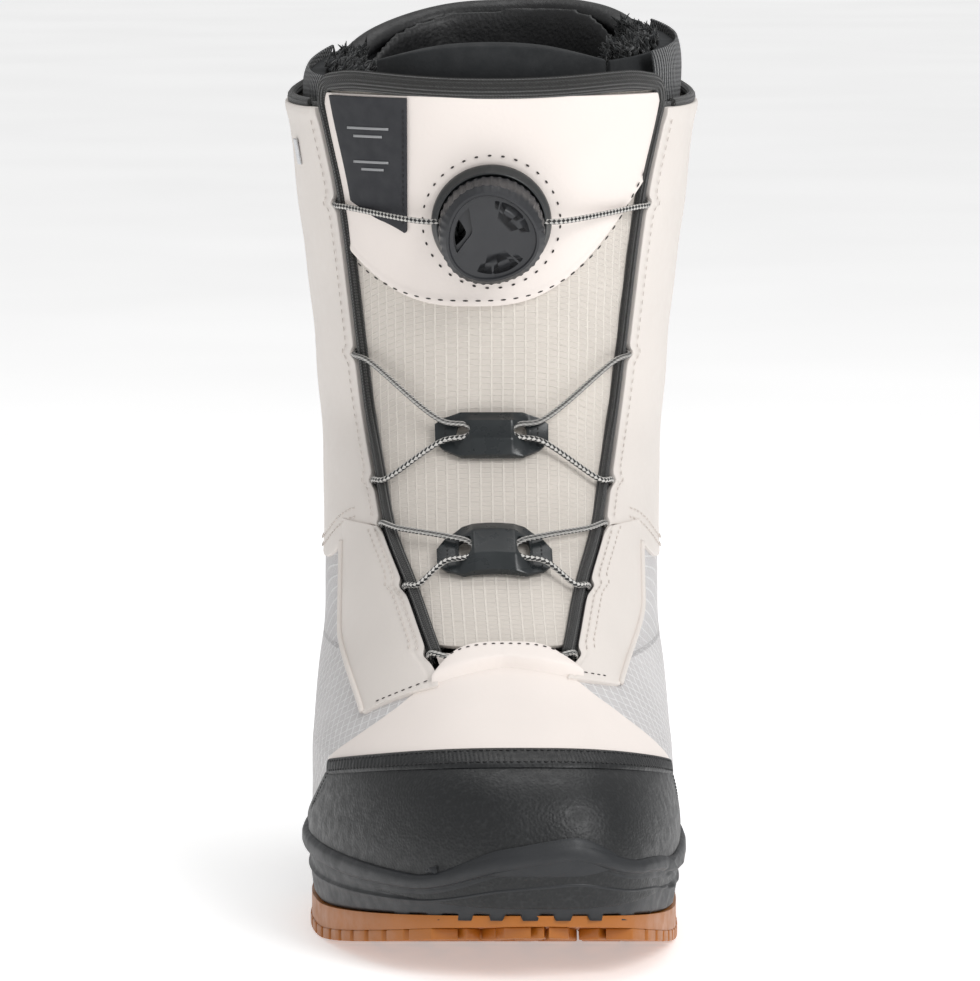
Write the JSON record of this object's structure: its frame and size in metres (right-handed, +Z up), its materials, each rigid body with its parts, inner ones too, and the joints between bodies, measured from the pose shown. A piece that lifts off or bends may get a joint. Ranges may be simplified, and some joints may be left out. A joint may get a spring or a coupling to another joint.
{
  "type": "snowboard boot",
  "caption": "Right snowboard boot with a lace dial on the tongue, two lace guides, dark toe cap, padded liner and gum outsole",
  "frame": {"origin": "on the ground below the middle of the boot's bounding box", "axes": "+Z up the shaft, -Y toward the toe, +X toward the inner (medial) side of a right boot"},
  "size_m": [0.1366, 0.3072, 0.2941],
  "materials": {
    "gum_rubber": "matte",
    "midsole_foam": "matte",
    "dark_leather": "pebbled",
    "pale_leather": "smooth",
    "ripstop": "ripstop",
    "black_webbing": "ribbed",
    "board": "matte",
    "stiff_plastic": "matte",
    "dial_plastic": "satin",
    "guide_plastic": "satin",
    "steel": "brushed",
    "braid": "braided",
    "label_print": "smooth",
    "liner_foam": "knit",
    "fleece": "pile",
    "badge_metal": "satin"
  },
  "bodies": {
    "shell": {"outsole_forefoot": "gum_rubber", "outsole_heel": "gum_rubber", "midsole": "midsole_foam", "toe_bumper": "midsole_foam", "shank": "stiff_plastic", "lasting_board": "board", "toe_cap": "dark_leather", "vamp": "pale_leather", "side_panel_lateral": "ripstop", "side_panel_medial": "ripstop", "lower_quarter_lateral": "pale_leather", "lower_quarter_medial": "pale_leather", "upper_quarter_lateral": "pale_leather", "upper_quarter_medial": "pale_leather", "throat_facing_lateral": "black_webbing", "throat_facing_medial": "black_webbing", "heel_counter": "dark_leather", "heel_stiffener": "stiff_plastic", "backstay": "dark_leather", "cuff_binding": "black_webbing", "throat_tab": "pale_leather", "pull_loop_rear": "black_webbing", "side_badge": "badge_metal", "lace_channel_lateral_1": "stiff_plastic", "lace_channel_lateral_2": "stiff_plastic", "lace_channel_lateral_3": "stiff_plastic", "lace_channel_medial_1": "stiff_plastic", "lace_channel_medial_2": "stiff_plastic", "lace_channel_medial_3": "stiff_plastic", "liner_foot": "liner_foam", "liner_shaft": "liner_foam", "footbed": "liner_foam", "fleece_collar_medial": "fleece", "fleece_collar_lateral": "fleece", "rear_spoiler_pad": "dark_leather", "spoiler_piping": "dark_leather"},
    "tongue": {"tongue_body": "ripstop", "tongue_binding": "black_webbing", "tongue_plate": "pale_leather", "info_label": "label_print", "upper_lace_guide": "guide_plastic", "lower_lace_guide": "guide_plastic", "dial_base": "dial_plastic", "dial_housing": "dial_plastic", "dial_ratchet_ring": "dial_plastic", "dial_screw": "steel", "lace": "braid", "gusset_lateral": "ripstop", "gusset_medial": "ripstop"},
    "liner_tongue": {"liner_tongue": "liner_foam"},
    "dial_drive": {"dial_drive_disc": "dial_plastic", "dial_spring": "steel", "dial_spool": "dial_plastic", "lace_winding": "braid"},
    "dial_knob": {"dial_knob": "dial_plastic"}
  },
  "joints": [
    {"name": "tongue_open", "type": "hinge", "parent": "shell", "child": "tongue", "pos_m": [0, -0.082, 0.088], "axis": [1, 0, 0], "range_deg": [0, 25], "deforming": ["lace", "gusset_lateral", "gusset_medial"]},
    {"name": "liner_tongue_open", "type": "hinge", "parent": "shell", "child": "liner_tongue", "pos_m": [0, -0.069, 0.088], "axis": [1, 0, 0], "range_deg": [0, 20]},
    {"name": "dial_turn", "type": "hinge", "parent": "tongue", "child": "dial_drive", "pos_m": [0, -0.01871, 0.22535], "axis": [0, -0.9677, -0.2521], "continuous": true},
    {"name": "dial_pull", "type": "slide", "parent": "dial_drive", "child": "dial_knob", "axis": [0, -0.9677, -0.2521], "range_m": [0, 0.003]}
  ],
  "couplings": [
    {"joint": "liner_tongue_open", "follows": "tongue_open", "ratio": 0.8}
  ]
}
